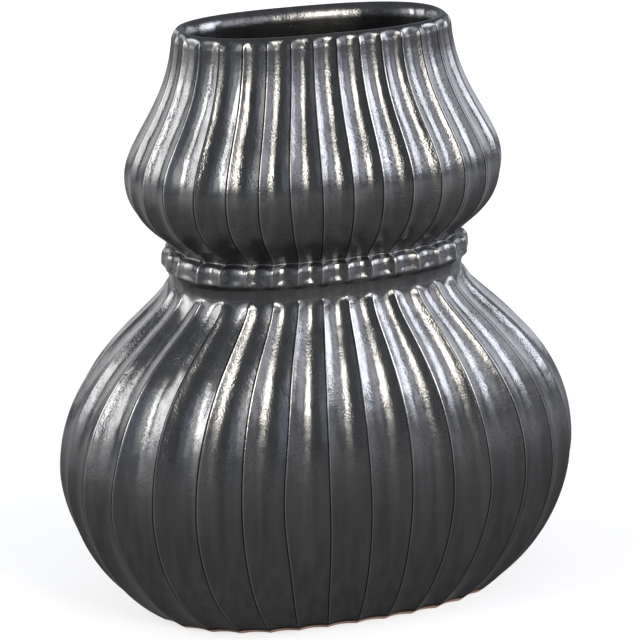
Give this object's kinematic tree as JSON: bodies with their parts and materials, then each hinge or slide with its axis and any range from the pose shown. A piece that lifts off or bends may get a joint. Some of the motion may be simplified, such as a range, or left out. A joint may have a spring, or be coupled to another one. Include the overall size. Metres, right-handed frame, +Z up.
{
  "type": "fluted double-gourd vase",
  "caption": "Oval double-gourd flower vase with concave flutes, a scalloped ring round the neck, a smooth rolled lip and a bare clay foot ring.",
  "frame": {"origin": "centre of the foot on the table plane", "axes": "+X along the long side of the oval, +Y towards the back, +Z up through the mouth"},
  "size_m": [0.223, 0.132, 0.25],
  "materials": {
    "dark_glaze": "satin gunmetal glaze with a fine metallic speckle",
    "bare_clay": "unglazed matt fired clay"
  },
  "bodies": {
    "root": {"foot_ring": "bare_clay", "base_floor": "dark_glaze", "lower_bulb": "dark_glaze", "waist_ring": "dark_glaze", "upper_bulb": "dark_glaze", "mouth_lip": "dark_glaze"}
  },
  "joints": []
}
